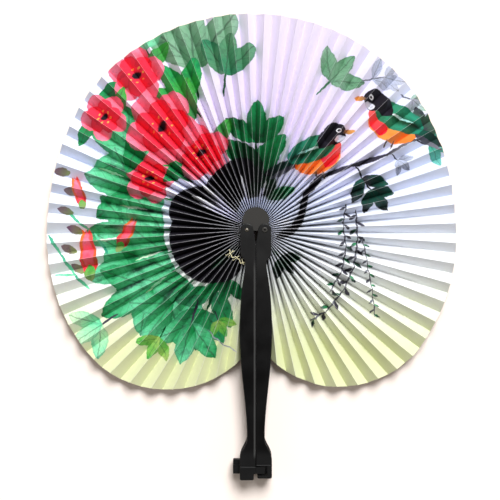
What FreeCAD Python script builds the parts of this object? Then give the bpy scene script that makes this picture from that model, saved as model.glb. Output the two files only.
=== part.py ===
import FreeCAD, Part
import math
import os

# Pocket folding fan, opened to a full disc and lying on its back.
# Origin: midway between the two rivets, on the rear face of the arms. The leaf is in the XY plane,
# +Z is the printed side, +Y points away from the handle. All lengths are in millimetres.

V = FreeCAD.Vector
FRONT = V(0, 0, 1)

# --- thickness, counted from the rear face ---
wall = 1.2                # front and rear walls of an arm
arm_depth = 13.6
cheek = 1.1               # hub cheek plates
side_play = 0.1           # between a cheek and the arm's ear
rear_cheek_z = wall + side_play
front_cheek_z = arm_depth - wall - side_play - cheek
leaf_z = arm_depth / 2    # middle of the pleats

# --- hub and rivets ---
rivet_x = 5.5
rivet_r = 0.9
ear_r = 4.0
ear_hole_r = 0.95
cheek_lobe_r = 3.9
cheek_dome_r = 8.25
cheek_dome_y = 5.8
cheek_cut_y = -0.5        # lower edge of the cheek between the ears
boss_r = 2.2
head_play = 0.05
solid_head_r = 1.3
solid_head_height = 0.7
tube_head_r = 1.6
tube_head_height = 0.45
tube_head_round = 0.27
tube_bore_r = 0.6
rear_head_r = 1.6
rear_head_height = 0.5
counterbore_r = 1.9
counterbore_depth = 0.7

# --- arms: half widths measured from the seam between them, lengths measured down the handle ---
seam_gap = 0.05
seam_wall = 1.3
seam_start = 8.0
shoulder = (9.5, 13.5)
waist = (6.5, 21.5)
grip = (9.95, 62.0)
neck = (5.4, 127.7)
ankle = (9.9, 142.0)
shoulder_to_waist = (5.0, 5.0)    # how far each curve runs straight on at its two ends
waist_to_grip = (4.0, 26.0)
grip_to_neck = (26.0, 20.0)
neck_to_ankle = (5.3, 7.0)
foot_corner_r = 1.0
foot_rise = 0.6           # the foot's front stands this much proud
edge_round = 0.6
slot_start = 150.0        # open slot between the two feet
foot_end = {"left": 153.9, "right": 152.8}
foot_inner = {"left": 1.3, "right": 0.9}
foot_step = {"left": 145.4, "right": 144.2}

# --- closing hook and open-position tongue on the left foot, recess on the right foot ---
hook_reach = 14.1
hook_top = 141.9
hook_split = 145.2
hook_bottom = 150.4
hook_z = (3.6, 8.4, 10.0)
tip_round = 0.4           # on the ends of the hook and the tongue
tongue_reach = 5.6
tongue_span = (145.6, 149.9)
tongue_z = (12.1, 13.8)
recess_reach = 7.1
recess_span = (145.0, 151.0)
recess_floor = 11.6

# --- paper leaf ---
sections = 16             # on each side
pleats_per_section = 2
lines_per_section = 2 * pleats_per_section
line_count = sections * lines_per_section
leaf_end_angle = 177.0    # from the middle of the leaf round to its glued end
pitch_spread = 0.2        # the pleats open a little wider towards the handle
leaf_inner_r = 8.1
leaf_outer_r = 129.1
leaf_middle = V(-2.7, 5.0, 0)
side_cut = 0.024          # the leaf is a little narrower at its sides than a full disc
side_cut_angle = 77.0
side_cut_spread = 35.0
corner_start = 125.0      # the leaf's outer corners are cut away from this angle to the handle
corner_cut = 0.338
corner_power = 1.84
corner_scale = 50.0       # angle past the start at which the whole cut is reached
end_shift = 4.0           # the leaf's ends lie this far from the seam
pleat_width = 8.5
flattest = 0.95           # a pleat never opens further than this share of its width
paper = 0.15
paper_upright_limit = 1.2 # the most that steep paper may measure from top to bottom
leaf_spans = 3
flap_drop = 1.5           # the glued edge lies this much further down the handle
flap_margin = 0.4         # bare channel wall under the glued strip

# --- gather thread ---
thread_r = 0.4
thread_ring_r = 21.4
thread_z = 11.5
thread_sections = (13, 14, 15)

side_sign = {"left": -1, "right": 1}
beyond = 20.0             # a cutting solid that is open on one side reaches this far
tiny = 1e-3


def save(name, shape):
    """Write one node and report it."""
    assert shape.isValid(), name
    shape.exportStep(f"parts/{name}.step")
    print(f"{name}: {shape.Volume:.1f} mm3, {len(shape.Solids)} solid(s)")


def box(low, high):
    """Box between two corners."""
    size = [b - a for a, b in zip(low, high)]
    return Part.makeBox(*size, V(*low))


def round_bar(r, z_low, z_high, x=0.0, y=0.0):
    """Cylinder along Z."""
    return Part.makeCylinder(r, z_high - z_low, V(x, y, z_low), FRONT)


def mirrored(shape):
    """The same shape on the other side of the seam."""
    return shape.mirror(V(0, 0, 0), V(1, 0, 0))


# ---------------------------------------------------------------- hub
def make_cheek(z_low, boss_low, boss_high):
    """One cheek plate with its two bosses, drilled for the rivets."""
    z_high = z_low + cheek
    dome = round_bar(cheek_dome_r, z_low, z_high, 0, cheek_dome_y)
    above = box((-beyond, cheek_cut_y, z_low), (beyond, beyond, z_high))
    plate = dome.common(above)
    for x in (-rivet_x, rivet_x):
        plate = plate.fuse(round_bar(cheek_lobe_r, z_low, z_high, x))
        plate = plate.fuse(round_bar(boss_r, boss_low, boss_high, x))
    for x in (-rivet_x, rivet_x):
        plate = plate.cut(round_bar(rivet_r, 0, arm_depth, x))
    return plate.removeSplitter()


def make_solid_rivet(x):
    """Rivet with a low round head in front and a flat head sunk in the rear ear."""
    head_z = arm_depth + head_play
    shank = round_bar(rivet_r, head_play, head_z, x)
    rear = round_bar(rear_head_r, head_play, head_play + rear_head_height, x)
    ball_r = (solid_head_r ** 2 + solid_head_height ** 2) / (2 * solid_head_height)
    ball = Part.makeSphere(ball_r, V(x, 0, head_z + solid_head_height - ball_r))
    dome = ball.common(round_bar(solid_head_r, head_z, head_z + ball_r, x))
    return shank.fuse([rear, dome]).removeSplitter()


def make_tube_rivet(x):
    """Tubular rivet with a rolled front rim and a flat rear head."""
    head_z = arm_depth + head_play
    shank = round_bar(rivet_r, head_play, head_z + tube_head_height, x)
    rear = round_bar(rear_head_r, head_play, head_play + rear_head_height, x)
    rim = round_bar(tube_head_r, head_z, head_z + tube_head_height, x)
    rim = rim.makeFillet(tube_head_round, [top_edge(rim)])
    bore = round_bar(tube_bore_r, -beyond, beyond, x)
    return shank.fuse([rear, rim]).cut(bore).removeSplitter()


def top_edge(shape):
    """The edge of a round bar that lies highest."""
    return max(shape.Edges, key=lambda e: e.CenterOfMass.z)


# ---------------------------------------------------------------- arms
def s_curve(start, end, lead_out, lead_in):
    """Edge from one half width to another that leaves and arrives parallel to the seam."""
    curve = Part.BezierCurve()
    poles = [
        V(start[0], -start[1], 0),
        V(start[0], -start[1] - lead_out, 0),
        V(end[0], -end[1] + lead_in, 0),
        V(end[0], -end[1], 0),
    ]
    curve.setPoles(poles)
    return curve.toShape()


def line(a, b):
    """Straight edge between two plan points."""
    return Part.LineSegment(V(*a, 0), V(*b, 0)).toShape()


def quarter(centre, r, start_angle):
    """Quarter circle that turns anticlockwise from start_angle, in degrees."""
    circle = Part.Circle(V(*centre, 0), FRONT, r)
    first = math.radians(start_angle)
    return Part.Arc(circle, first, first + math.pi / 2).toShape()


def arm_outline(side):
    """Plan of one arm on the +X side: ear, shoulder, waist, grip, neck and foot."""
    end = foot_end[side]
    inner = foot_inner[side]
    r = foot_corner_r
    corner = (ankle[0] - r, -end + r)
    inner_corner = (inner + r, -end + r)
    ear = Part.Arc(
        V(rivet_x + ear_r, 0, 0), V(rivet_x, ear_r, 0), V(rivet_x - ear_r, 0, 0)
    ).toShape()
    edges = [
        ear,
        line((rivet_x - ear_r, 0), (seam_gap, -seam_start)),
        line((seam_gap, -seam_start), (seam_gap, -slot_start)),
        line((seam_gap, -slot_start), (inner, -slot_start)),
        line((inner, -slot_start), (inner, inner_corner[1])),
        quarter(inner_corner, r, 180),
        line((inner_corner[0], -end), (corner[0], -end)),
        quarter(corner, r, 270),
        line((ankle[0], corner[1]), (ankle[0], -ankle[1])),
        s_curve(neck, ankle, *neck_to_ankle),
        s_curve(grip, neck, *grip_to_neck),
        s_curve(waist, grip, *waist_to_grip),
        s_curve(shoulder, waist, *shoulder_to_waist),
        line((shoulder[0], -shoulder[1]), (rivet_x + ear_r, 0)),
    ]
    return Part.Face(Part.Wire(Part.__sortEdges__(edges)))


def make_arm(side):
    """Channel moulding on the +X side, open away from the seam, with its ears drilled."""
    outline = arm_outline(side)
    end = foot_end[side]
    body = outline.extrude(V(0, 0, arm_depth))
    rims = [e for e in body.Edges if e.BoundBox.ZLength < tiny]
    body = body.makeFillet(edge_round, rims)
    raised = outline.extrude(V(0, 0, arm_depth + foot_rise))
    raised = raised.common(box((0, -end, arm_depth / 2), (beyond, -foot_step[side], beyond)))
    raised_rims = [e for e in raised.Edges if e.BoundBox.ZMin > arm_depth]
    raised = raised.makeFillet(edge_round, raised_rims)
    body = body.fuse(raised)
    ceiling = arm_depth - wall
    channel = box((seam_gap + seam_wall, -end + wall, wall), (beyond, beyond, ceiling))
    ear_space = box((0, -seam_start, wall), (beyond, beyond, ceiling))
    body = body.cut(channel).cut(ear_space)
    body = body.cut(round_bar(ear_hole_r, -beyond, beyond, rivet_x))
    body = body.cut(round_bar(counterbore_r, 0, counterbore_depth, rivet_x))
    return body


def make_left_arm():
    """Left arm with the hook inside its foot and the tongue across the seam."""
    arm = make_arm("left")
    root = seam_gap + seam_wall / 2
    low, middle, high = hook_z
    hook = box((root, -hook_bottom, low), (hook_reach, -hook_top, middle))
    catch = box((root, -hook_bottom, middle), (hook_reach, -hook_split, high))
    hook = hook.fuse(catch).removeSplitter()
    tip = [e for e in hook.Edges if e.BoundBox.XMin > hook_reach - tiny]
    hook = hook.makeFillet(tip_round, tip)
    tongue = box(
        (-tongue_reach, -tongue_span[1], tongue_z[0]), (root, -tongue_span[0], tongue_z[1])
    )
    tip = [e for e in tongue.Edges if e.BoundBox.XMax < -tongue_reach + tiny]
    tongue = tongue.makeFillet(tip_round, tip)
    return mirrored(arm.fuse([hook, tongue])).removeSplitter()


def make_right_arm():
    """Right arm with the recess that the tongue drops into."""
    recess = box((0, -recess_span[1], recess_floor), (recess_reach, -recess_span[0], beyond))
    return make_arm("right").cut(recess).removeSplitter()


# ---------------------------------------------------------------- paper leaf
def fold_angle(line_index):
    """Angle of a fold line from the middle of the leaf, in degrees."""
    u = line_index / line_count
    return leaf_end_angle * ((1 - pitch_spread) * u + pitch_spread * u * u)


def leaf_reach(side, angle):
    """Distance from the hub to the rim at an angle from the middle of the leaf."""
    a = math.radians(angle)
    along = V(side_sign[side] * math.sin(a), math.cos(a), 0)
    offset = along.dot(leaf_middle)
    reach = offset + math.sqrt(offset ** 2 - leaf_middle.dot(leaf_middle) + leaf_outer_r ** 2)
    past = max(0.0, (angle - corner_start) / corner_scale)
    off_side = min(1.0, abs(angle - side_cut_angle) / side_cut_spread)
    narrowing = side_cut * (1 + math.cos(math.pi * off_side)) / 2
    return reach * (1 - corner_cut * past ** corner_power) * (1 - narrowing)


def fold_stations(side, line_index):
    """Plan points along a fold line, with the distance of each from the hub."""
    angle = fold_angle(line_index)
    a = math.radians(angle)
    along = V(side_sign[side] * math.sin(a), math.cos(a), 0)
    turn = min(1.0, max(0.0, (angle - 90) / 90))
    root = V(side_sign[side] * end_shift * turn * turn * (3 - 2 * turn), 0, 0)
    reach = leaf_reach(side, angle)
    steps = [leaf_inner_r + (reach - leaf_inner_r) * i / leaf_spans for i in range(leaf_spans + 1)]
    return [(root + along * r, r) for r in steps]


def fold_heights(line_index, r):
    """Upper and lower height of the paper on a fold line; odd lines are ridges."""
    before = max(line_index - 1, 0)
    after = min(line_index + 1, line_count)
    pitch = math.radians(fold_angle(after) - fold_angle(before)) / (after - before)
    across = min(r * pitch, flattest * pleat_width)
    half = math.sqrt(pleat_width ** 2 - across ** 2) / 2
    upright = min(paper * pleat_width / across, paper_upright_limit)
    if line_index % 2:
        return leaf_z + half, leaf_z + half - upright
    return leaf_z - half + upright, leaf_z - half


def quad(a, b, c, d):
    """Two triangles that fill four corners."""
    return [flat(a, b, c), flat(a, c, d)]


def flat(*points):
    """Flat face through its corners."""
    return Part.Face(Part.makePolygon(list(points) + [points[0]]))


def sheet_solid(upper, lower):
    """Closed sheet between an upper and a lower grid of points, line by line."""
    faces = []
    last = len(upper[0]) - 1
    for i in range(len(upper) - 1):
        for s in range(last):
            for grid in (upper, lower):
                faces += quad(grid[i][s], grid[i][s + 1], grid[i + 1][s + 1], grid[i + 1][s])
        for s in (0, last):
            faces.append(flat(upper[i][s], upper[i + 1][s], lower[i + 1][s], lower[i][s]))
    for i in (0, -1):
        faces.append(flat(*upper[i], *reversed(lower[i])))
    shell = Part.makeShell(faces)
    shell.sewShape()
    solid = Part.makeSolid(shell)
    return solid if solid.Volume > 0 else solid.reversed()


def make_leaf_section(side, number):
    """One section of the leaf, from valley to valley."""
    first = (number - 1) * lines_per_section
    upper = []
    lower = []
    for line_index in range(first, first + lines_per_section + 1):
        stations = fold_stations(side, line_index)
        heights = [fold_heights(line_index, r) for _, r in stations]
        upper.append([p + V(0, 0, h[0]) for (p, _), h in zip(stations, heights)])
        lower.append([p + V(0, 0, h[1]) for (p, _), h in zip(stations, heights)])
    return sheet_solid(upper, lower)


def make_end_flap(side):
    """The leaf's last panel and the strip glued to the arm's channel."""
    stations = fold_stations(side, line_count)
    glue_x = side_sign[side] * (seam_gap + seam_wall)
    strip_x = glue_x + side_sign[side] * paper
    top = [fold_heights(line_count - 1, r) for _, r in stations]
    low = [fold_heights(line_count, r) for _, r in stations]
    outer = [[p + V(0, 0, h[k]) for (p, _), h in zip(stations, low)] for k in (0, 1)]
    at_wall = [V(strip_x, p.y - flap_drop, 0) for p, _ in stations]
    inner = [[p + V(0, 0, h[k]) for p, h in zip(at_wall, top)] for k in (0, 1)]
    panel = sheet_solid([outer[0], inner[0]], [outer[1], inner[1]])
    strip = box(
        (min(glue_x, strip_x), at_wall[-1].y, leaf_z - pleat_width / 2 + flap_margin),
        (max(glue_x, strip_x), at_wall[0].y, top[-1][1]),
    )
    return panel.fuse(strip)


def make_thread(number):
    """The stretch of gather thread that crosses one section of the left side."""
    first = fold_angle((number - 1) * lines_per_section)
    last = fold_angle(number * lines_per_section)
    profile = Part.Face(Part.Wire(Part.makeCircle(thread_r, V(thread_ring_r, 0, thread_z), V(0, 1, 0))))
    arc = profile.revolve(V(0, 0, 0), FRONT, last - first)
    arc.rotate(V(0, 0, 0), FRONT, 90 + first)
    return arc


# ---------------------------------------------------------------- all nodes
os.makedirs("parts", exist_ok=True)
save("hub_rear_plate", make_cheek(rear_cheek_z, rear_cheek_z, leaf_z))
save("hub_front_plate", make_cheek(front_cheek_z, leaf_z, front_cheek_z + cheek))
save("left_rivet", make_solid_rivet(-rivet_x))
save("right_rivet", make_tube_rivet(rivet_x))
save("left_arm", make_left_arm())
save("right_arm", make_right_arm())
for side in ("left", "right"):
    for number in range(1, sections + 1):
        save(f"{side}_leaf_{number:02d}", make_leaf_section(side, number))
    save(f"{side}_end_flap", make_end_flap(side))
for number in thread_sections:
    save(f"gather_thread_{number}", make_thread(number))
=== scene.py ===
import math
import random

import bmesh
import bpy
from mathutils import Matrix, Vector


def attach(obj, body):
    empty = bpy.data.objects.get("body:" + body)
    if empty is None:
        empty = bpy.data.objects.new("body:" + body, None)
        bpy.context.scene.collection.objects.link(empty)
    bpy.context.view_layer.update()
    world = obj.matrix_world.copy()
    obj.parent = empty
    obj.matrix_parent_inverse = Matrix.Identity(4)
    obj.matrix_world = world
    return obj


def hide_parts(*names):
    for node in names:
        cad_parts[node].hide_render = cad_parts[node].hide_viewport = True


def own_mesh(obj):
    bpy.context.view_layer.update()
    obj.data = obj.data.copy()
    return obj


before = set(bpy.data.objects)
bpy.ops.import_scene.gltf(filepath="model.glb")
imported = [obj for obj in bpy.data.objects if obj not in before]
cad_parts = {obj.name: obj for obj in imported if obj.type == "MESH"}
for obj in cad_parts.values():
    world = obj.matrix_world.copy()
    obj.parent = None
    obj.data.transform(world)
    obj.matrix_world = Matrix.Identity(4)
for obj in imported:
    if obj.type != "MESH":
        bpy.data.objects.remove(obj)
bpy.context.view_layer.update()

# All lengths are in metres, in the frame of the CAD model: the leaf lies in the XY plane, +Z is the
# printed side, and the origin is midway between the rivets on the rear face of the arms.
MM = 0.001
SIDE_SIGN = {"left": -1, "right": 1}

# --- leaf: the same driving dimensions as the CAD leaf ---
SECTIONS = 16
LINES_PER_SECTION = 4
LINE_COUNT = SECTIONS * LINES_PER_SECTION
LEAF_END_ANGLE = 177.0
PITCH_SPREAD = 0.2
LEAF_INNER_R = 8.1 * MM
LEAF_OUTER_R = 129.1 * MM
LEAF_MIDDLE = Vector((-2.7, 5.0)) * MM
SIDE_CUT = 0.024
SIDE_CUT_ANGLE = 77.0
SIDE_CUT_SPREAD = 35.0
CORNER_START = 125.0
CORNER_CUT = 0.338
CORNER_POWER = 1.84
CORNER_SCALE = 50.0
END_SHIFT = 4.0 * MM
PLEAT_WIDTH = 8.5 * MM
PAPER = 0.15 * MM
PAPER_UPRIGHT_LIMIT = 0.5 * MM
LEAF_Z = 6.8 * MM
FLATTEST = 0.95               # a panel never opens further than this share of its width

# --- how finely the paper is meshed, and how uneven the pleats are ---
ALONG_STEPS = 22
ROWS = ALONG_STEPS + 1
ACROSS = (0.0, 0.05, 0.3, 0.7, 0.95)
LEAF_SEED = 41
TOOTH = 0.35 * MM             # ridges are cut this much shorter and valleys this much longer
TOOTH_SPREAD = 0.2 * MM
LIFT = 0.28 * MM              # a fold line's outer end is up to this much high or low
WANDER_DEG = 0.22             # a fold line is up to this much off its angle
BOW = 0.16 * MM               # how far a panel curves out between its folds

# --- how the print is laid on the paper, with the painted shade and pale lines at the folds ---
RIDGE_LINE = 0.0016           # share of a panel taken by the pale ridge line (worn print with a painted highlight), times radius (m) ** RIDGE_POWER
RIDGE_POWER = 1.33
RIDGE_LIMIT = 0.4
RIDGE_WEAR_AND_HIGHLIGHT = (0.38, 0.76)     # how pale the ridges are painted, worn print with a painted highlight, at the two radii below (m)
RIDGE_WEAR_AND_HIGHLIGHT_R = (0.085, 0.018)
VALLEY_PAINTED_SHADE = 0.97
VALLEY_PAINTED_SHADE_R = (0.056, 0.02)     # painted shade: the valleys are coloured darker from the first radius in to the second (m)
WOBBLE = 2.2 * MM             # the edges of the brush marks are this uneven
MARK_MARGIN = 1.5             # mm round a mark that its wobble and softness can reach
NEAR_STEPS = 12               # points along a fold line that are tried for nearness to a mark
NEAR_SLACK = 5.6 * MM

# --- the leaf's last panel, glued to the wall of the arm's channel ---
SEAM_FACE = 1.35 * MM
FLAP_DROP = 1.5 * MM
FLAP_MARGIN = 0.4 * MM

# --- gather thread ---
THREAD_RING_R = 21.4 * MM
THREAD_Z = 11.4 * MM
THREAD_SECTIONS = (13, 14, 15)
PLY_R = 0.14 * MM
PLY_GAP = 0.15 * MM
PLY_TWIST = 58                # turns of the plies in one turn round the hub
PLY_STEPS = 60
SWAYS = ((0.75 * MM, 19), (0.35 * MM, 47))    # reach of each sway, and how many go round the hub
KINK_STEPS = 40
KINK_LIFT = 0.4 * MM
STRAND_SIDES = 7
# loose strands of each stretch: start and span as shares of the section, reach to both sides in mm
KINKS = {
    13: ((0.3, 0.4, 2.6), (0.45, 0.3, -2.2)),
    14: ((0.3, 0.45, 2.0),),
    15: ((0.2, 0.6, -1.2),),
}

# --- black plastic, by height on the handle (m) ---
GRIP_TO_HUB = (-0.050, -0.012)    # black up to here, then a little lighter
FOOT_DULLED = (-0.134, -0.140)
# painted highlight along the seam: it fades in between each pair of heights below (m)
SEAM_HIGHLIGHT_FROM = (-0.017, -0.026)
SEAM_HIGHLIGHT_TO = (-0.1415, -0.137)
SEAM_HIGHLIGHT_X = (-1.35 * MM, -0.15 * MM)    # painted highlight: the strip of the left arm's wall beside the seam

# --- floor and camera ---
FLOOR_HALF = 3.0
FLOOR_DROP = 0.2 * MM
CAMERA_LENS_MM = 85
CAMERA_SENSOR_MM = 36
PICTURE_WIDTH = 0.310
CAMERA_PLACE = (-0.0036, -0.0124)


def srgb(red, green, blue):
    """Linear colour from display values between 0 and 255."""
    channels = (red, green, blue)
    return tuple(((c / 255 + 0.055) / 1.055) ** 2.4 if c > 10 else c / 3295 for c in channels) + (1.0,)


# ------------------------------------------------------------------ node helpers
class Nodes:
    """Short calls that add nodes to one material or node group."""

    def __init__(self, tree):
        self.tree = tree

    def add(self, kind, **settings):
        node = self.tree.nodes.new(kind)
        for name, value in settings.items():
            setattr(node, name, value)
        return node

    def link(self, source, target):
        self.tree.links.new(source, target)

    def put(self, socket, value):
        """Set a socket to a number or colour, or join it to another socket."""
        if isinstance(value, bpy.types.NodeSocket):
            self.link(value, socket)
        else:
            socket.default_value = value

    def math(self, operation, *values):
        node = self.add("ShaderNodeMath", operation=operation)
        for socket, value in zip(node.inputs, values):
            self.put(socket, value)
        return node.outputs[0]

    def dot(self, first, second):
        node = self.add("ShaderNodeVectorMath", operation="DOT_PRODUCT")
        self.put(node.inputs[0], first)
        self.put(node.inputs[1], second)
        return node.outputs["Value"]

    def mix(self, factor, first, second, blend="MIX"):
        node = self.add("ShaderNodeMix", data_type="RGBA", blend_type=blend)
        self.put(node.inputs["Factor"], factor)
        self.put(node.inputs[6], first)
        self.put(node.inputs[7], second)
        return node.outputs[2]

    def smooth(self, value, low, high, out_low=0.0, out_high=1.0):
        node = self.add("ShaderNodeMapRange", interpolation_type="SMOOTHSTEP", clamp=False)
        for socket, number in zip(node.inputs, (value, low, high, out_low, out_high)):
            self.put(socket, number)
        return node.outputs[0]

    def noise(self, vector, scale, detail=3.0, roughness=0.55):
        node = self.add("ShaderNodeTexNoise")
        self.put(node.inputs["Vector"], vector)
        self.put(node.inputs["Scale"], scale)
        self.put(node.inputs["Detail"], detail)
        self.put(node.inputs["Roughness"], roughness)
        return node

    def bump(self, height, strength, distance):
        node = self.add("ShaderNodeBump")
        node.inputs["Strength"].default_value = strength
        node.inputs["Distance"].default_value = distance
        self.link(height, node.inputs["Height"])
        return node.outputs["Normal"]


def new_material(name):
    """An empty node material with a Principled shader joined to its output."""
    material = bpy.data.materials.new(name)
    material.use_nodes = True
    tree = material.node_tree
    tree.nodes.clear()
    nodes = Nodes(tree)
    output = nodes.add("ShaderNodeOutputMaterial")
    shader = nodes.add("ShaderNodeBsdfPrincipled")
    nodes.link(shader.outputs[0], output.inputs["Surface"])
    return material, nodes, shader


# ------------------------------------------------------------------ plastic, metal and thread
BLACK_PLASTIC = srgb(2, 2, 3)


def plastic(name, colour, roughness, grain, highlight_x=None):
    """Moulded black plastic: fine grain, faint scuffs, uneven gloss; the last argument, in X, is a strip
    beside the seam painted pale as a highlight.
    """
    material, nodes, shader = new_material(name)
    place = nodes.add("ShaderNodeTexCoord").outputs["Object"]
    cloudy = nodes.noise(place, 60.0, 4.0)
    fine = nodes.noise(place, 2600.0, 2.0)
    stretched = nodes.add("ShaderNodeMapping")
    stretched.inputs["Scale"].default_value = (1.0, 0.08, 1.0)
    nodes.link(place, stretched.inputs["Vector"])
    scratches = nodes.noise(stretched.outputs[0], 1500.0, 3.0, 0.7)
    scuff = nodes.smooth(scratches.outputs["Fac"], 0.62, 0.74)
    dull = nodes.math("MULTIPLY", scuff, cloudy.outputs["Fac"])
    lighter = tuple(c * 1.4 + 0.009 for c in colour[:3]) + (1.0,)
    shade = nodes.mix(nodes.math("MULTIPLY", dull, 0.55), colour, lighter)
    split = nodes.add("ShaderNodeSeparateXYZ")
    nodes.link(place, split.inputs[0])
    sideways, height, _ = split.outputs
    shade = nodes.mix(nodes.smooth(height, *GRIP_TO_HUB), shade, lighter)
    if highlight_x:
        middle, half = (highlight_x[0] + highlight_x[1]) / 2, (highlight_x[1] - highlight_x[0]) / 2
        away = nodes.math("ABSOLUTE", nodes.math("SUBTRACT", sideways, middle))
        away = nodes.math("MULTIPLY_ADD", scratches.outputs["Fac"], half * 0.9, away)
        seam_highlight = nodes.smooth(away, half * 2.0, half * 0.6)
        for ends in (SEAM_HIGHLIGHT_FROM, SEAM_HIGHLIGHT_TO):
            seam_highlight = nodes.math("MULTIPLY", seam_highlight, nodes.smooth(height, *ends))
        # painted highlight: the strip beside the seam is coloured pale grey, standing in for the reflection
        # in its rounded edges
        shade = nodes.mix(nodes.math("MULTIPLY", seam_highlight, 0.7), shade, srgb(72, 72, 72))
    nodes.link(shade, shader.inputs["Base Color"])
    gloss = nodes.smooth(cloudy.outputs["Fac"], 0.3, 0.7, roughness - 0.05, roughness + 0.07)
    dull_foot = nodes.smooth(height, *FOOT_DULLED, 0.0, 0.2)
    rough = nodes.math("ADD", nodes.math("MULTIPLY_ADD", dull, 0.25, gloss), dull_foot)
    nodes.link(rough, shader.inputs["Roughness"])
    nodes.link(nodes.bump(fine.outputs["Fac"], grain, 0.00004), shader.inputs["Normal"])
    shader.inputs["Specular IOR Level"].default_value = 0.26
    return material


def metal(name, colour, roughness):
    """Plated rivet metal, dulled and a little stained."""
    material, nodes, shader = new_material(name)
    place = nodes.add("ShaderNodeTexCoord").outputs["Object"]
    stain = nodes.noise(place, 900.0, 4.0)
    fine = nodes.noise(place, 5000.0, 2.0)
    darker = tuple(c * 0.45 for c in colour[:3]) + (1.0,)
    shade = nodes.mix(nodes.smooth(stain.outputs["Fac"], 0.45, 0.75), colour, darker)
    nodes.link(shade, shader.inputs["Base Color"])
    rough = nodes.smooth(stain.outputs["Fac"], 0.3, 0.7, roughness, roughness + 0.2)
    nodes.link(rough, shader.inputs["Roughness"])
    nodes.link(nodes.bump(fine.outputs["Fac"], 0.3, 0.00003), shader.inputs["Normal"])
    shader.inputs["Metallic"].default_value = 1.0
    return material


def thread_material():
    """Pale golden twisted thread."""
    material, nodes, shader = new_material("golden_thread")
    place = nodes.add("ShaderNodeTexCoord").outputs["Object"]
    strands = nodes.noise(place, 4200.0, 3.0, 0.7)
    shade = nodes.mix(strands.outputs["Fac"], srgb(222, 204, 138), srgb(255, 252, 222))
    nodes.link(shade, shader.inputs["Base Color"])
    nodes.link(nodes.bump(strands.outputs["Fac"], 0.6, 0.00006), shader.inputs["Normal"])
    shader.inputs["Roughness"].default_value = 0.42
    shader.inputs["Sheen Weight"].default_value = 0.4
    return material


# ------------------------------------------------------------------ the print on the leaf
INK = {
    "red": srgb(244, 46, 74),
    "deep_red": srgb(204, 26, 50),
    "pink": srgb(255, 134, 162),
    "coral": srgb(244, 92, 82),
    "orange": srgb(250, 132, 52),
    "amber": srgb(246, 168, 82),
    "green": srgb(28, 156, 90),
    "deep_green": srgb(4, 84, 44),
    "bright_green": srgb(70, 178, 70),
    "mint": srgb(112, 214, 166),
    "soft_green": srgb(104, 160, 122),
    "sage": srgb(146, 188, 160),
    "dull_green": srgb(64, 122, 86),
    "sea_green": srgb(58, 142, 102),
    "lime": srgb(166, 196, 104),
    "pale_green": srgb(196, 230, 186),
    "teal": srgb(34, 148, 120),
    "deep_teal": srgb(6, 82, 66),
    "aqua": srgb(118, 206, 196),
    "ink": srgb(26, 22, 32),
    "soft_ink": srgb(58, 54, 70),
    "grey": srgb(120, 122, 134),
    "pale_grey": srgb(188, 190, 208),
    "white": srgb(248, 248, 252),
    "brown": srgb(96, 78, 70),
    "olive": srgb(136, 150, 92),
    "plum": srgb(128, 84, 116),
    "mist": srgb(196, 204, 228),
    "lilac": srgb(214, 212, 240),
    "pale_blue": srgb(232, 238, 252),
}
# Each brush mark: place (mm), direction (degrees), half length and half width (mm), first and second
# colour from its root to its tip, then options: point (0.35 blunt to 1.0 sharp), skew (above 0 wider at
# the tip), vein (dark ribs), soft (width of its blurred edge), edge (pooled ink), grainy (dry brush).
MARKS = []


def mark(x, y, turn, length, width, first, second, **options):
    """Add one brush mark to the picture."""
    MARKS.append((x, y, turn, length, width, first, second, options))


def stroke(points, width, first, second=None, **options):
    """A line through points, as one thin mark for each stretch."""
    for (x0, y0), (x1, y1) in zip(points, points[1:]):
        length = math.hypot(x1 - x0, y1 - y0) / 2
        turn = math.degrees(math.atan2(y1 - y0, x1 - x0))
        middle = ((x0 + x1) / 2, (y0 + y1) / 2)
        mark(*middle, turn, length + width, width, first, second or first, point=0.35, **options)


def leaf(x, y, turn, length, width, first, second, **options):
    """A leaf with a middle vein."""
    options.setdefault("vein", 0.55)
    options.setdefault("point", 0.8)
    mark(x, y, turn, length, width, first, second, **options)


def unit(turn):
    """Cosine and sine of an angle in degrees."""
    return math.cos(math.radians(turn)), math.sin(math.radians(turn))


def spray(x, y, turn, pairs, size, first, second, bend=0.0, spread=50.0, stem="deep_green", **options):
    """A bending stem from x, y, with pairs of leaves along it and one leaf at its tip."""
    for i in range(pairs):
        c, s = unit(turn)
        start = (x, y)
        x, y = x + c * size * 0.9, y + s * size * 0.9
        stroke([start, (x, y)], 0.045 * size + 0.25, stem)
        reach = size * (1.0 - 0.1 * i)
        for lean, root, tip in ((turn - spread, first, second), (turn + spread, second, first)):
            c, s = unit(lean)
            leaf(
                x + c * reach * 0.8, y + s * reach * 0.8, lean, reach * 0.86, reach * 0.42,
                root, tip, **options,
            )
        turn += bend
    c, s = unit(turn)
    leaf(x + c * size * 0.8, y + s * size * 0.8, turn, size * 0.86, size * 0.4, first, second, **options)


def blossom(x, y, size, turn):
    """An open flower of five broad petals round a dark middle."""
    petals, stamens = 5, 7
    rings = ((0, size, "deep_red", "pink"), (180 / petals, size * 0.72, "red", "red"))
    for shift, reach, first, second in rings:
        for i in range(petals):
            angle = turn + shift + 360 / petals * i
            c, s = unit(angle)
            mark(
                x + c * reach * 0.52, y + s * reach * 0.52, angle, reach * 0.54, reach * 0.48,
                first, second, point=0.42, edge=0.35,
            )
    mark(x, y, turn, size * 0.2, size * 0.17, "ink", "ink", point=0.5, soft=0.6)
    for i in range(stamens):
        c, s = unit(turn + 360 / stamens * i)
        mark(x + c * size * 0.27, y + s * size * 0.27, turn, 0.9, 0.7, "amber", "amber", point=0.5, edge=0.0)


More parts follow.
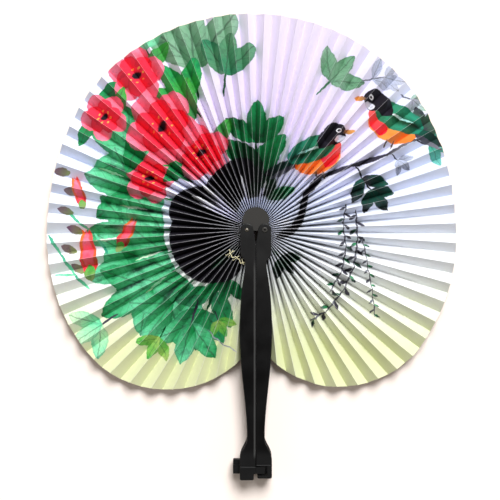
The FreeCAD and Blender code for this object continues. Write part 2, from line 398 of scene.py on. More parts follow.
def bud(x, y, turn, size):
    """A closed flower in its green cup."""
    c, s = unit(turn)
    for lean, width, first, second in (
        (-9, 0.34, "red", "coral"), (9, 0.34, "deep_red", "orange"), (0, 0.24, "red", "pink"),
    ):
        mark(x, y, turn + lean, size, size * width, first, second, point=1.0, skew=-0.25, edge=0.3)
    x, y = x - c * size * 0.85, y - s * size * 0.85
    leaf(x, y, turn, size * 0.36, size * 0.26, "olive", "bright_green", vein=0.0)


def songbird(x, y, facing, tilt, size):
    """A plain little bird; facing is 1 to the right and -1 to the left."""
    tilt_c, tilt_s = unit(tilt)

    def part(dx, dy, turn, length, width, first, second, **options):
        across, up = (dx * tilt_c - dy * tilt_s) * size, (dx * tilt_s + dy * tilt_c) * size
        angle = turn + tilt if facing > 0 else 180 - turn - tilt
        mark(x + facing * across, y + up, angle, length * size, width * size, first, second, **options)

    part(-19.5, -5.0, 196, 11.0, 3.0, "deep_teal", "ink", point=0.45)
    part(-18.5, -7.4, 200, 9.5, 1.6, "soft_ink", "grey", point=0.5)
    part(1.0, -3.6, 12, 13.5, 7.8, "orange", "amber", point=0.6, edge=0.15)
    part(8.6, -0.6, 62, 8.4, 5.2, "red", "coral", point=0.5, edge=0.1)
    part(-2.0, 2.4, 16, 14.5, 7.0, "teal", "sea_green", point=0.5, skew=0.1, vein=0.25)
    part(-6.0, 0.6, 192, 11.5, 4.2, "deep_green", "ink", point=0.8, soft=0.9)
    part(-3.0, 2.4, 192, 7.5, 0.8, "white", "aqua", point=0.6)
    part(7.0, 7.2, 40, 6.4, 4.6, "ink", "soft_ink", point=0.6, grainy=0.2)
    part(12.0, 9.4, 14, 6.6, 6.0, "ink", "ink", point=0.5)
    part(14.6, 6.4, 10, 3.0, 2.0, "white", "pale_grey", point=0.5)
    part(20.0, 9.2, -4, 3.6, 1.6, "brown", "amber", point=0.9)
    part(14.4, 10.6, 0, 1.5, 1.5, "white", "white", point=0.5, edge=0.0)
    part(14.5, 10.6, 0, 0.85, 0.85, "ink", "ink", point=0.5, edge=0.0)
    for leg in (-1.0, 3.0):
        part(leg, -12.4, 100, 2.6, 0.5, "brown", "brown", point=0.5)


def twig(points, width, size, tones):
    """A thin stem through points with small leaves on alternate sides."""
    stroke(points, width, "soft_ink", "grey")
    count = 0
    for (x0, y0), (x1, y1) in zip(points, points[1:]):
        turn = math.degrees(math.atan2(y1 - y0, x1 - x0))
        steps = max(1, round(math.hypot(x1 - x0, y1 - y0) / (size * 1.5)))
        for i in range(steps):
            t = (i + 0.5) / steps
            lean = turn + (55 if count % 2 else -55)
            c, s = unit(lean)
            x, y = x0 + (x1 - x0) * t + c * size, y0 + (y1 - y0) * t + s * size
            leaf(x, y, lean, size, size * 0.4, tones[count % len(tones)], "soft_ink", vein=0.2, grainy=0.2)
            count += 1


def paint_right_side():
    """Two birds that face each other on a branch, with leaves above it and hanging twigs."""
    spray(38, 84, 46, 1, 13, "sage", "soft_green", stem="dull_green")
    spray(66, 92, 18, 2, 8, "mist", "pale_grey", bend=-16, stem="grey")
    spray(90, 84, -30, 1, 8, "lilac", "sage", stem="grey")
    stroke([(40, 33), (60, 40), (80, 46)], 1.7, "ink", "soft_ink", grainy=0.3)
    stroke([(80, 46), (96, 55), (108, 58)], 1.1, "ink", "grey", grainy=0.3)
    spray(97, 56, 50, 1, 9, "soft_ink", "dull_green", stem="soft_ink")
    spray(100, 55, -14, 1, 9, "teal", "aqua", stem="soft_ink")
    spray(62, 40, -62, 2, 10, "deep_teal", "ink", bend=6, stem="ink", vein=0.7)
    spray(84, 47, -40, 1, 6, "mist", "grey", stem="soft_ink")
    songbird(37, 47.5, 1, 8, 1.12)
    songbird(86, 67, -1, 10, 1.16)
    # thick end of the branch, by the hub
    stroke([(40, 33), (31, 22), (28, 8)], 2.5, "ink", "ink", grainy=0.3)
    stroke([(28, 8), (23, 0), (15, -4)], 2.8, "ink", "ink", grainy=0.3)
    leaf(15.5, 22.6, 20, 9.5, 4.0, "deep_green", "green", vein=0.3)
    spray(10, -12, -48, 1, 8, "deep_green", "ink")
    mark(14, 3, 20, 8, 3.4, "pale_blue", "white", point=0.6, edge=0.0)


def paint_twigs():
    """The twigs that hang at the right."""
    dark = ("ink", "soft_ink", "deep_green", "ink", "green")
    twig([(56, 16), (54, 2), (56, -12), (53, -26), (46, -38)], 0.6, 2.6, dark)
    twig([(62, 12), (63, -6), (61, -22), (54, -38), (44, -50), (34, -56)], 0.75, 3.0, dark)
    twig([(66, -4), (69, -20), (72, -38), (74, -54)], 0.45, 2.0, ("grey", "green"))


def paint_top():
    """Broad leaves above the hub and at the upper left rim."""
    spray(-36, 82, 96, 1, 24, "soft_green", "sage", spread=46.0, vein=0.6, point=0.5)
    spray(-20, 84, 84, 1, 15, "sea_green", "soft_green", spread=40.0, vein=0.6, point=0.5)
    spray(-62, 100, 118, 1, 15, "mint", "sage", vein=0.4)
    spray(-34, 70, 128, 1, 16, "bright_green", "green", vein=0.4)
    spray(2, 26, 96, 2, 16, "deep_green", "green", bend=-4, vein=0.5)
    leaf(1, 30, 90, 14, 12, "ink", "deep_green", point=0.5, vein=0.4)
    leaf(6, 44, 60, 15, 8.0, "deep_green", "green", vein=0.4)
    leaf(-4, 42, 120, 15, 8.0, "ink", "deep_green", vein=0.4)


def paint_flowers():
    """The open red flowers at the upper left."""
    for x, y, size, turn in (
        (-74, 96, 17, 20), (-94, 70, 14, 50), (-66, 32, 15, 5), (-34, 48, 17, 30), (-58, 64, 22, 60),
    ):
        leaf(x - size * 0.7, y - size * 0.5, turn + 190, size * 0.9, size * 0.34, "deep_green", "green")
        leaf(x + size * 0.7, y + size * 0.6, turn + 30, size * 0.8, size * 0.3, "dull_green", "bright_green")
        blossom(x, y, size, turn)


def paint_left_leaves():
    """Sprays of leaves that fan out from the dark middle to the left rim and the handle."""
    for x, y, turn, pairs, size, first, second, bend in (
        (-40, 30, 156, 2, 21, "mint", "green", -4), (-40, 16, 168, 2, 20, "green", "mint", -3),
        (-40, 0, 179, 2, 20, "mint", "green", 4), (-38, -10, 194, 2, 20, "green", "mint", 3),
        (-34, -16, 209, 2, 21, "mint", "green", 2), (-30, -22, 225, 2, 18, "green", "mint", 4),
        (-20, -26, 244, 2, 15, "green", "sea_green", 5), (-15, -22, 256, 1, 10, "deep_green", "green", 0),
    ):
        spray(x, y, turn, pairs, size, first, second, bend, vein=0.55, edge=0.6)
    for x, y, turn in (
        (-84, 38, 158), (-70, 28, 160), (-66, 12, 176), (-84, 2, 182),
        (-72, -24, 206), (-80, -36, 208), (-54, -40, 226),
    ):
        mark(x, y, turn, 12, 2.2, "soft_ink", "deep_green", point=0.6, soft=0.9, grainy=0.4)
    for x, y, turn in ((-76, 14, 172), (-92, -6, 186), (-66, -16, 198), (-62, -34, 218), (-90, 36, 160)):
        mark(x, y, turn, 9, 0.8, "white", "pale_green", point=0.6)
    spray(-36, -44, 254, 1, 16, "green", "mint", stem="soft_ink", vein=0.6, edge=0.6)
    spray(-56, -60, 240, 1, 9, "lime", "bright_green")
    spray(-26, -50, 296, 1, 7, "lime", "bright_green", stem="soft_ink")
    spray(-86, -52, 214, 1, 13, "mint", "pale_green", stem="soft_ink")
    stroke([(-30, -62), (-22, -70), (-12, -75)], 0.5, "grey", "pale_grey")


def paint_left_stems():
    """Closed flowers and thin stems at the left rim."""
    stroke([(-128, -4), (-121, -15), (-112, -28), (-104, -36)], 1.2, "teal", "mint")
    stroke([(-120, 14), (-109, 4), (-100, -2), (-92, -14)], 1.0, "mint", "teal")
    stroke([(-124, -28), (-112, -28)], 0.9, "mint")
    for i in range(6):
        mark(-120 + i + i % 2 * 5, 36 - 12 * i, 176 - 5 * i, 5.2, 2.8, "olive", "plum", point=0.6)
    bud(-104, -14, 96, 15)
    bud(-80, -2, 62, 11)
    bud(-110, 24, 108, 10)


def paint_dark_heart():
    """The dark wash round the hub on the left, and the pale paper next to the hub."""
    for x, y, turn, length, width in (
        (-28, -4, 0, 25.5, 29.5), (-32, 10, 170, 22, 17), (-18, 26, 50, 23, 12), (-23, -19, 0, 15, 14),
    ):
        mark(x, y, turn, length, width, "ink", "ink", point=0.5, edge=0.0, grainy=0.2)
    mark(4, 11, 0, 15.5, 10, "mist", "pale_blue", point=0.5, edge=0.0)
    for x, y, turn, length in ((-24, 13, 152, 18), (-22, 18, 138, 15), (-7, 25, 104, 9), (4, 24, 72, 7)):
        mark(x, y, turn, length, length * 0.15, "lilac", "white", point=0.6, edge=0.0)
    mark(-17, -15, 40, 15, 4.6, "deep_green", "ink", point=0.6, soft=0.9)


def paint_picture():
    """The whole picture, the lowest colours first."""
    paint_top()
    paint_left_leaves()
    paint_left_stems()
    paint_flowers()
    paint_dark_heart()
    paint_right_side()
    paint_twigs()


def mark_group():
    """Node group that lays one brush mark over the colours below it."""
    tree = bpy.data.node_groups.new("brush_mark", "ShaderNodeTree")
    for name, kind in (
        ("Below", "Color"), ("Where", "Vector"), ("Grain", "Float"),
        ("Along", "Vector"), ("Across", "Vector"), ("Point", "Float"), ("Skew", "Float"),
        ("Soft", "Float"), ("Edge", "Float"), ("Vein", "Float"), ("Grainy", "Float"),
        ("First", "Color"), ("Second", "Color"),
    ):
        tree.interface.new_socket(name, in_out="INPUT", socket_type="NodeSocket" + kind)
    tree.interface.new_socket("Color", in_out="OUTPUT", socket_type="NodeSocketColor")
    n = Nodes(tree)
    given = n.add("NodeGroupInput").outputs
    u = n.dot(given["Where"], given["Along"])
    v = n.dot(given["Where"], given["Across"])
    aside = n.math("ABSOLUTE", v)
    room = n.math("MAXIMUM", n.math("SUBTRACT", 1.0, n.math("MULTIPLY", u, u)), 0.0)
    swell = n.math("MULTIPLY_ADD", given["Skew"], u, 1.0)
    half = n.math("MULTIPLY", n.math("POWER", room, given["Point"]), swell)
    inside = n.math("SUBTRACT", half, aside)
    cover = n.smooth(inside, 0.0, given["Soft"])
    blot = n.math("MULTIPLY_ADD", given["Grain"], 1.5, -0.75)
    along = n.math("MULTIPLY_ADD", u, 0.55, 0.5)
    wash = n.math("ADD", along, blot)
    colour = n.mix(wash, given["First"], given["Second"])
    pooled = n.math("MAXIMUM", n.smooth(inside, 0.34, 0.02), n.smooth(given["Grain"], 0.54, 0.62))
    rim = n.math("MULTIPLY", pooled, given["Edge"])
    rim_colour = n.mix(1.0, colour, (0.42, 0.42, 0.46, 1.0), "MULTIPLY")
    colour = n.mix(rim, colour, rim_colour)
    ribs = n.math("SINE", n.math("MULTIPLY", n.math("SUBTRACT", u, n.math("MULTIPLY", aside, 0.55)), 19.0))
    rib = n.math("MULTIPLY", n.smooth(ribs, 0.86, 1.0), 0.5)
    spine = n.smooth(aside, 0.10, 0.02)
    vein = n.math("MULTIPLY", n.math("MAXIMUM", rib, spine), given["Vein"])
    colour = n.mix(vein, colour, (0.035, 0.05, 0.04, 1.0))
    gaps = n.smooth(n.math("MULTIPLY_ADD", given["Grain"], -1.0, given["Grainy"]), -0.12, 0.02)
    solid = n.math("MULTIPLY", cover, n.math("SUBTRACT", 1.0, n.math("MULTIPLY", gaps, given["Grainy"])))
    result = n.mix(solid, given["Below"], colour)
    n.link(result, n.add("NodeGroupOutput").inputs[0])
    return tree


def background(n, where, cloud):
    """Tinted paper: lilac at the top, white at the sides, yellow-green towards the handle."""
    split = n.add("ShaderNodeSeparateXYZ")
    n.link(where, split.inputs[0])
    height = n.math("MULTIPLY_ADD", cloud, 0.02, split.outputs[1])
    centred = n.smooth(n.math("ABSOLUTE", split.outputs[0]), 0.11, 0.045)
    lilac = n.math("MULTIPLY", n.smooth(height, 0.018, 0.075), centred)
    low = n.smooth(height, -0.008, -0.07)
    colour = n.mix(n.smooth(height, -0.02, 0.05), srgb(235, 237, 240), srgb(223, 230, 250))
    colour = n.mix(lilac, colour, srgb(232, 223, 244))
    return n.mix(low, colour, srgb(215, 219, 176))


def wobbled(n, where):
    """Place in the picture, moved a little by noise so that the marks' edges are uneven. Its Z is 1."""
    wobble = n.noise(where, 260.0, 3.0, 0.6)
    shift = n.add("ShaderNodeVectorMath", operation="MULTIPLY_ADD")
    n.link(wobble.outputs["Color"], shift.inputs[0])
    shift.inputs[1].default_value = (WOBBLE, WOBBLE, 0.0)
    n.link(where, shift.inputs[2])
    shifted = n.add("ShaderNodeVectorMath", operation="SUBTRACT")
    n.link(shift.outputs[0], shifted.inputs[0])
    shifted.inputs[1].default_value = (WOBBLE / 2, WOBBLE / 2, -1.0)
    return shifted.outputs[0]


def lay_marks(n, colour, where, grain, reach, group):
    """Lay the picture's marks over a colour, apart from those that can't touch this paper."""
    place = wobbled(n, where)
    for x, y, turn, length, width, first, second, options in MARKS:
        if not reach(x * MM, y * MM, (max(length, width) + MARK_MARGIN) * MM):
            continue
        node = n.add("ShaderNodeGroup", node_tree=group)
        c, s = unit(turn)
        # The third number is the mark's own offset, which the dot product adds because the place's Z is 1.
        settings = {
            "Along": (c / (length * MM), s / (length * MM), -(c * x + s * y) / length),
            "Across": (-s / (width * MM), c / (width * MM), (s * x - c * y) / width),
            "Point": options.get("point", 0.8),
            "Skew": options.get("skew", 0.0),
            "Soft": options.get("soft", min(0.35, 0.55 / width)),
            "Edge": options.get("edge", 0.4),
            "Vein": options.get("vein", 0.0),
            "Grainy": options.get("grainy", 0.0),
            "First": INK[first],
            "Second": INK[second],
        }
        for socket, value in settings.items():
            node.inputs[socket].default_value = value
        for socket, source in (("Below", colour), ("Where", place), ("Grain", grain)):
            n.link(source, node.inputs[socket])
        colour = node.outputs[0]
    return colour


def fold_shade_wear_and_highlight(n, colour, where):
    """Paint shade into the valleys near the hub, and paint the ridges pale in thin lines that narrow
    outwards: worn print together with a painted highlight.
    """
    folds = n.add("ShaderNodeSeparateXYZ")
    n.link(n.add("ShaderNodeUVMap", uv_map="fold").outputs[0], folds.inputs[0])
    share, radius = folds.outputs[0], folds.outputs[1]
    speck = n.noise(where, 700.0, 3.0).outputs["Fac"]
    width = n.math("MINIMUM", n.math("DIVIDE", RIDGE_LINE, n.math("POWER", radius, RIDGE_POWER)), RIDGE_LIMIT)
    below_ridge = n.math("DIVIDE", n.math("SUBTRACT", 1.0, share), width)
    below_ridge = n.math("MULTIPLY_ADD", speck, 0.8, below_ridge)
    strength = n.smooth(radius, *RIDGE_WEAR_AND_HIGHLIGHT_R, *RIDGE_WEAR_AND_HIGHLIGHT)
    wear_and_highlight = n.math("MULTIPLY", n.smooth(below_ridge, 1.25, 0.55), strength)
    valley_shade = n.math("MULTIPLY", n.smooth(share, 0.46, 0.18), n.smooth(radius, *VALLEY_PAINTED_SHADE_R))
    # painted shade: the valleys near the hub are coloured near black, as their shadow would make them
    colour = n.mix(n.math("MULTIPLY", valley_shade, VALLEY_PAINTED_SHADE), colour, srgb(4, 4, 7))
    # worn print and painted highlight: the ridges are coloured near white, most strongly near the hub
    return n.mix(wear_and_highlight, colour, srgb(246, 246, 254))


def add_fibres(n, shader, where, strength):
    """Fine relief of paper fibres."""
    fibres = n.noise(where, 3800.0, 4.0, 0.7).outputs["Fac"]
    n.link(n.bump(fibres, strength, 0.00006), shader.inputs["Normal"])


def print_material(name, reach, group):
    """Printed paper for one stretch of the leaf, with painted shade in its valleys and pale ridge lines;
    reach tells which marks can touch it.
    """
    material, n, shader = new_material(name)
    where = n.add("ShaderNodeUVMap", uv_map="print").outputs[0]
    grain = n.noise(where, 150.0, 5.0, 0.62).outputs["Fac"]
    colour = lay_marks(n, background(n, where, grain), where, grain, reach, group)
    n.link(fold_shade_wear_and_highlight(n, colour, where), shader.inputs["Base Color"])
    add_fibres(n, shader, where, 0.22)
    n.link(n.smooth(grain, 0.3, 0.7, 0.62, 0.78), shader.inputs["Roughness"])
    shader.inputs["Specular IOR Level"].default_value = 0.3
    return material


def paper_back_material():
    """Unprinted back and cut edges: warm white, a little blotched."""
    material, n, shader = new_material("paper_back")
    where = n.add("ShaderNodeUVMap", uv_map="print").outputs[0]
    blotch = n.noise(where, 55.0, 4.0, 0.6).outputs["Fac"]
    colour = n.mix(n.smooth(blotch, 0.42, 0.68), srgb(238, 232, 222), srgb(214, 212, 204))
    n.link(colour, shader.inputs["Base Color"])
    add_fibres(n, shader, where, 0.3)
    shader.inputs["Roughness"].default_value = 0.82
    shader.inputs["Specular IOR Level"].default_value = 0.25
    return material


# ------------------------------------------------------------------ shape of the leaf
def fold_angle(line_index):
    """Angle of a fold line from the middle of the leaf, in degrees."""
    u = line_index / LINE_COUNT
    return LEAF_END_ANGLE * ((1 - PITCH_SPREAD) * u + PITCH_SPREAD * u * u)


def leaf_reach(side, angle):
    """Distance from the hub to the rim at an angle from the middle of the leaf."""
    a = math.radians(angle)
    along = Vector((SIDE_SIGN[side] * math.sin(a), math.cos(a)))
    offset = along.dot(LEAF_MIDDLE)
    reach = offset + math.sqrt(offset ** 2 - LEAF_MIDDLE.length_squared + LEAF_OUTER_R ** 2)
    past = max(0.0, (angle - CORNER_START) / CORNER_SCALE)
    off_side = min(1.0, abs(angle - SIDE_CUT_ANGLE) / SIDE_CUT_SPREAD)
    narrowing = SIDE_CUT * (1 + math.cos(math.pi * off_side)) / 2
    return reach * (1 - CORNER_CUT * past ** CORNER_POWER) * (1 - narrowing)


class Fold:
    """One fold line of the leaf, with its own small unevenness."""

    def __init__(self, side, index, rng):
        free = 0 < index < LINE_COUNT
        wander, lift, tooth = (rng.uniform(-1, 1) if free else 0.0 for _ in range(3))
        self.ridge = index % 2 == 1
        self.angle = fold_angle(index) + wander * WANDER_DEG
        a = math.radians(self.angle)
        self.along = Vector((SIDE_SIGN[side] * math.sin(a), math.cos(a)))
        turn = min(1.0, max(0.0, (fold_angle(index) - 90) / 90))
        self.root = Vector((SIDE_SIGN[side] * END_SHIFT * turn * turn * (3 - 2 * turn), 0.0))
        self.reach = leaf_reach(side, fold_angle(index))
        if free:
            self.reach += (-TOOTH if self.ridge else TOOTH) + tooth * TOOTH_SPREAD
        before = fold_angle(max(index - 1, 0))
        after = fold_angle(min(index + 1, LINE_COUNT))
        span = min(index + 1, LINE_COUNT) - max(index - 1, 0)
        self.pitch = math.radians(after - before) / span
        self.lift = lift * LIFT

    def point(self, share):
        """Plan point at a share of the way from the hub end to the rim, and its height."""
        r = LEAF_INNER_R + (self.reach - LEAF_INNER_R) * share
        across = min(r * self.pitch, FLATTEST * PLEAT_WIDTH)
        half = math.sqrt(PLEAT_WIDTH ** 2 - across ** 2) / 2
        upright = min(PAPER * PLEAT_WIDTH / across, PAPER_UPRIGHT_LIMIT)
        place = self.root + self.along * r
        top = LEAF_Z + half if self.ridge else LEAF_Z - half + upright
        return place, top + self.lift * share, upright


def all_folds():
    """Fold lines of both sides; the middle one is shared."""
    rng = random.Random(LEAF_SEED)
    return {side: [Fold(side, i, rng) for i in range(LINE_COUNT + 1)] for side in SIDE_SIGN}


def paper_points(folds):
    """Upper and lower points of the sheet, column by column, and each one's share from valley to ridge."""
    columns = []
    for left, right in zip(folds, folds[1:]):
        columns += [(left, right, t) for t in ACROSS]
    columns.append((folds[-2], folds[-1], 1.0))
    upper, lower, fold_share = [], [], []
    for a, b, t in columns:
        for row in range(ROWS):
            share = row / ALONG_STEPS
            pa, za, ta = a.point(share)
            pb, zb, tb = b.point(share)
            place = pa.lerp(pb, t)
            bow = BOW * math.sin(math.pi * t) * (1 if a.ridge else -1) * share
            top = za + (zb - za) * t + bow
            thick = ta + (tb - ta) * t
            upper.append((place.x, place.y, top))
            lower.append((place.x, place.y, top - thick))
            fold_share.append(t if b.ridge else 1 - t)
    return upper, lower, fold_share


def paper_faces(upper):
    """Faces that join the upper points to the lower ones after them, and a material slot for each."""
    base = len(upper)
    last = base // ROWS - 1
    corner, along, across = (Vector(upper[i]) for i in (0, 1, ROWS))
    flip = (across - corner).cross(along - corner).z < 0
    faces, slots = [], []
    for i in range(last):
        for r in range(ALONG_STEPS):
            quad = [i * ROWS + r, (i + 1) * ROWS + r, (i + 1) * ROWS + r + 1, i * ROWS + r + 1]
            under = [base + k for k in quad]
            faces += [quad[::-1], under] if flip else [quad, under[::-1]]
            slots += [0, 1]
    rim = [(i * ROWS + r, (i + 1) * ROWS + r) for i in range(last) for r in (0, ALONG_STEPS)]
    rim += [(i * ROWS + r, i * ROWS + r + 1) for i in (0, last) for r in range(ALONG_STEPS)]
    for a, b in rim:
        faces.append([a, b, base + b, base + a])
        slots.append(1)
    return faces, slots


def add_maps(mesh, points, fold_share):
    """Map "print" is the place in the picture, map "fold" the share from valley to ridge and the radius."""
    printed = mesh.uv_layers.new(name="print")
    folded = mesh.uv_layers.new(name="fold")
    for corner in mesh.loops:
        x, y, _ = points[corner.vertex_index]
        printed.data[corner.index].uv = (x, y)
        folded.data[corner.index].uv = (fold_share[corner.vertex_index], math.hypot(x, y))


def write_mesh(build, mesh):
    """Turn the faces outwards and write them to the mesh."""
    bmesh.ops.recalc_face_normals(build, faces=build.faces)
    build.to_mesh(mesh)
    build.free()


def paper_mesh(name, folds):
    """Closed sheet of paper over the folds, printed side up, with its print and fold maps."""
    upper, lower, fold_share = paper_points(folds)
    faces, slots = paper_faces(upper)
    mesh = bpy.data.meshes.new(name)
    mesh.from_pydata(upper + lower, [], faces)
    mesh.polygons.foreach_set("material_index", slots)
    add_maps(mesh, upper + lower, fold_share * 2)
    build = bmesh.new()
    build.from_mesh(mesh)
    write_mesh(build, mesh)
    return mesh


def new_object(name, mesh, *materials):
    """Link a mesh object with its materials."""
    piece = bpy.data.objects.new(name, mesh)
    bpy.context.scene.collection.objects.link(piece)
    for material in materials:
        mesh.materials.append(material)
    return piece


def near_test(folds):
    """Function that says whether a mark's circle can touch the paper between these folds."""
    points = []
    for fold in folds:
        points += [fold.point(i / NEAR_STEPS)[0] for i in range(NEAR_STEPS + 1)]

    def reach(x, y, radius):
        return min(math.hypot(p.x - x, p.y - y) for p in points) < radius + NEAR_SLACK

    return reach


def make_leaf(folds, group, back):
    """The 32 sections of the leaf."""
    for side, lines in folds.items():
        for number in range(1, SECTIONS + 1):
            first = (number - 1) * LINES_PER_SECTION
            own = lines[first:first + LINES_PER_SECTION + 1]
            node = f"{side}_leaf_{number:02d}"
            mesh = paper_mesh(f"{side}_pleats_{number:02d}", own)
            front = print_material(f"print_{side}_{number:02d}", near_test(own), group)
            piece = new_object(f"{side}_pleats_{number:02d}", mesh, front, back)
            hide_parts(node)
            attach(piece, f"{side}_fold_{number:02d}")
            squash_to_arm(piece)


def squash_to_arm(piece):
    """Give a piece its own copy of its mesh."""
    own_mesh(piece)


class GluedEdge:
    """Upper edge of the leaf's last panel, on the wall of the arm's channel."""

    ridge = True

    def __init__(self, side, last, before):
        self.last = last
        self.before = before
        self.x = SIDE_SIGN[side] * (SEAM_FACE + PAPER)

    def point(self, share):
        place, _, _ = self.last.point(share)
        _, top, upright = self.before.point(share)
        return Vector((self.x, place.y - FLAP_DROP)), top, upright


def add_strip(mesh, side, edge):
    """Add the upright strip that is glued to the channel wall, and return its area."""
    near = edge.point(0.0)[0].y
    far = edge.point(1.0)[0].y
    top = edge.point(1.0)[1] - PAPER
    bottom = LEAF_Z - PLEAT_WIDTH / 2 + FLAP_MARGIN
    build = bmesh.new()
    build.from_mesh(mesh)
    outline = ((near, bottom), (far, bottom), (far, top), (near, top))
    corners = []
    for x in (SIDE_SIGN[side] * SEAM_FACE, edge.x):
        corners += [build.verts.new((x, y, z)) for y, z in outline]
    for i in range(4):
        j = (i + 1) % 4
        build.faces.new((corners[i], corners[j], corners[4 + j], corners[4 + i])).material_index = 1
    for four in (corners[:4], corners[4:]):
        build.faces.new(four).material_index = 1
    write_mesh(build, mesh)
    return (top - bottom) * abs(far - near)


def make_end_flap(side, lines, group, back):
    """The leaf's last panel, from the last fold to the arm, with its glued strip."""
    edge = GluedEdge(side, lines[-1], lines[-2])
    own = [lines[-1], edge]
    mesh = paper_mesh(f"{side}_flap", own)
    strip_area = add_strip(mesh, side, edge)
    front = print_material(f"print_{side}_flap", near_test(own), group)
    piece = new_object(f"{side}_flap", mesh, front, back)
    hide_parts(f"{side}_end_flap")
    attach(piece, f"{side}_arm")
    length = edge.point(0.0)[0].y - edge.point(1.0)[0].y
    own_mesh(piece)


# ------------------------------------------------------------------ gather thread
def tube(build, path, radius):
    """Add a round strand along a path of close points."""
    rings = []
    for i, point in enumerate(path):
        ahead = path[min(i + 1, len(path) - 1)] - path[max(i - 1, 0)]
        ahead.normalize()
        across = ahead.cross(Vector((0, 0, 1)))
        across.normalize()
        up = across.cross(ahead)
        ring = []
        for k in range(STRAND_SIDES):
            a = 2 * math.pi * k / STRAND_SIDES
            ring.append(build.verts.new(point + (across * math.cos(a) + up * math.sin(a)) * radius))
        rings.append(ring)
    for first, second in zip(rings, rings[1:]):
        for k in range(STRAND_SIDES):
            j = (k + 1) % STRAND_SIDES
            build.faces.new((first[k], first[j], second[j], second[k])).smooth = True
    build.faces.new(rings[0][::-1])
    build.faces.new(rings[-1])


def thread_point(angle, radial, lift):
    """Point on the left side at an angle from the middle of the leaf, off the thread's ring."""
    a = math.radians(angle)
    r = THREAD_RING_R + radial
    return Vector((-math.sin(a) * r, math.cos(a) * r, THREAD_Z + lift))


def ply_path(first, last, ply):
    """One of the two twisted plies, between two angles."""
    path = []
    for i in range(PLY_STEPS + 1):
        angle = first + (last - first) * i / PLY_STEPS
        twist = math.radians(angle * PLY_TWIST) + ply * math.pi
        sway = sum(reach * math.sin(math.radians(angle * rate)) for reach, rate in SWAYS)
        radial = sway + PLY_GAP * math.cos(twist)
        path.append(thread_point(angle, radial, PLY_GAP * (1 + math.sin(twist))))
    return path


def kink_path(first, last, start, span, reach):
    """A loose strand that crosses the thread between two angles."""
    path = []
    for i in range(KINK_STEPS + 1):
        t = i / KINK_STEPS
        angle = first + (last - first) * (start + span * t)
        bulge = reach * MM * math.cos(math.pi * t) * (1 + 0.15 * math.sin(9 * t))
        path.append(thread_point(angle, bulge, PLY_GAP * 2 + KINK_LIFT * math.sin(math.pi * t)))
    return path


def make_thread(lines, material):
    """Two loosely twisted plies over the ridges, with loose strands that cross them."""
    for number in THREAD_SECTIONS:
        own = lines[(number - 1) * LINES_PER_SECTION:number * LINES_PER_SECTION + 1]
        first, last = own[0].angle, own[-1].angle
        build = bmesh.new()
        for ply in (0, 1):
            tube(build, ply_path(first, last, ply), PLY_R)
        for kink in KINKS[number]:
            tube(build, kink_path(first, last, *kink), PLY_R)
        mesh = bpy.data.meshes.new(f"thread_{number}")
        write_mesh(build, mesh)
        piece = new_object(f"thread_{number}", mesh, material)
        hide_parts(f"gather_thread_{number}")
        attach(piece, f"left_fold_{number:02d}")
        squash_to_arm(piece)


# ------------------------------------------------------------------ rigid pieces, floor, light, camera
def dress_cad_nodes():
    """Materials for the CAD pieces that stay."""
    left_plastic = plastic("left_arm_plastic", BLACK_PLASTIC, 0.34, 0.25, SEAM_HIGHLIGHT_X)
    right_plastic = plastic("right_arm_plastic", BLACK_PLASTIC, 0.34, 0.25)
    hub_plastic = plastic("hub_plastic", srgb(31, 29, 27), 0.55, 0.9)
    looks = {
        "left_arm": left_plastic,
        "right_arm": right_plastic,
        "hub_front_plate": hub_plastic,
        "hub_rear_plate": hub_plastic,
        "left_rivet": metal("left_rivet_metal", srgb(120, 116, 108), 0.26),
        "right_rivet": metal("right_rivet_metal", srgb(92, 90, 88), 0.3),
    }
    for node, material in looks.items():
        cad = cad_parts[node]
        cad.data.materials.clear()
        cad.data.materials.append(material)


def make_floor():
    """Plain pale surface under the fan."""
    mesh = bpy.data.meshes.new("floor")
    corners = [(x * FLOOR_HALF, y * FLOOR_HALF, 0) for x, y in ((-1, -1), (1, -1), (1, 1), (-1, 1))]
    mesh.from_pydata(corners, [], [(0, 1, 2, 3)])
    material, nodes, shader = new_material("floor")
    place = nodes.add("ShaderNodeTexCoord").outputs["Object"]
    soft = nodes.noise(place, 7.0, 3.0)
    colour = nodes.mix(soft.outputs["Fac"], srgb(249, 235, 227), srgb(252, 240, 234))
    nodes.link(colour, shader.inputs["Base Color"])
    shader.inputs["Roughness"].default_value = 0.7
    shader.inputs["Specular IOR Level"].default_value = 0.2
    floor = new_object("floor", mesh, material)
    floor.location.z = -FLOOR_DROP


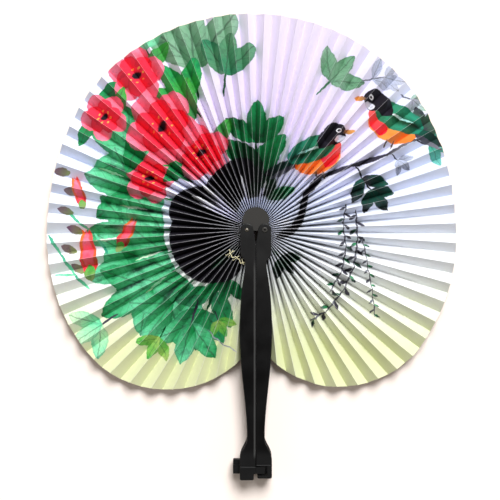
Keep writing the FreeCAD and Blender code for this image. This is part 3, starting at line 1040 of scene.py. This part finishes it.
def make_light():
    """Soft key light from the top of the fan, a little from the right, over a warm fill."""
    key = bpy.data.lights.new("key", "SUN")
    key.energy = 4.3
    key.angle = math.radians(32)
    key.color = (0.985, 1.0, 1.0)
    lamp = bpy.data.objects.new("key", key)
    direction = Vector((0.21, 0.76, 0.9))
    lamp.rotation_euler = direction.to_track_quat("Z", "Y").to_euler()
    bpy.context.scene.collection.objects.link(lamp)
    for side, sign in SIDE_SIGN.items():
        strip = bpy.data.lights.new(f"{side}_strip", "AREA")
        strip.shape = "RECTANGLE"
        strip.size, strip.size_y = 0.22, 1.0
        strip.energy = 1.3
        panel = bpy.data.objects.new(f"{side}_strip", strip)
        panel.location = (sign * 0.95, -0.05, 0.5)
        panel.rotation_euler = Vector(panel.location).to_track_quat("Z", "Y").to_euler()
        bpy.context.scene.collection.objects.link(panel)
    world = bpy.data.worlds.new("room")
    world.use_nodes = True
    nodes = Nodes(world.node_tree)
    split = nodes.add("ShaderNodeSeparateXYZ")
    nodes.link(nodes.add("ShaderNodeTexCoord").outputs["Generated"], split.inputs[0])
    glow = nodes.smooth(split.outputs[2], 0.3, 0.95, 0.32, 0.13)
    shader = world.node_tree.nodes["Background"]
    shader.inputs[0].default_value = (1.0, 0.92, 0.80, 1.0)
    nodes.link(glow, shader.inputs[1])
    bpy.context.scene.world = world


def make_camera():
    """Straight above the fan, as far away as frames it."""
    camera = bpy.data.cameras.new("camera")
    camera.lens = CAMERA_LENS_MM
    camera.sensor_width = CAMERA_SENSOR_MM
    height = PICTURE_WIDTH * camera.lens / camera.sensor_width + LEAF_Z
    seat = bpy.data.objects.new("camera", camera)
    seat.location = (*CAMERA_PLACE, height)
    bpy.context.scene.collection.objects.link(seat)
    bpy.context.scene.camera = seat
    bpy.context.scene.view_settings.view_transform = "Standard"


make_camera()
make_floor()
make_light()
dress_cad_nodes()
paint_picture()
leaf_folds = all_folds()
back_material = paper_back_material()
brush = mark_group()
make_leaf(leaf_folds, brush, back_material)
for leaf_side, leaf_lines in leaf_folds.items():
    make_end_flap(leaf_side, leaf_lines, brush, back_material)
make_thread(leaf_folds["left"], thread_material())
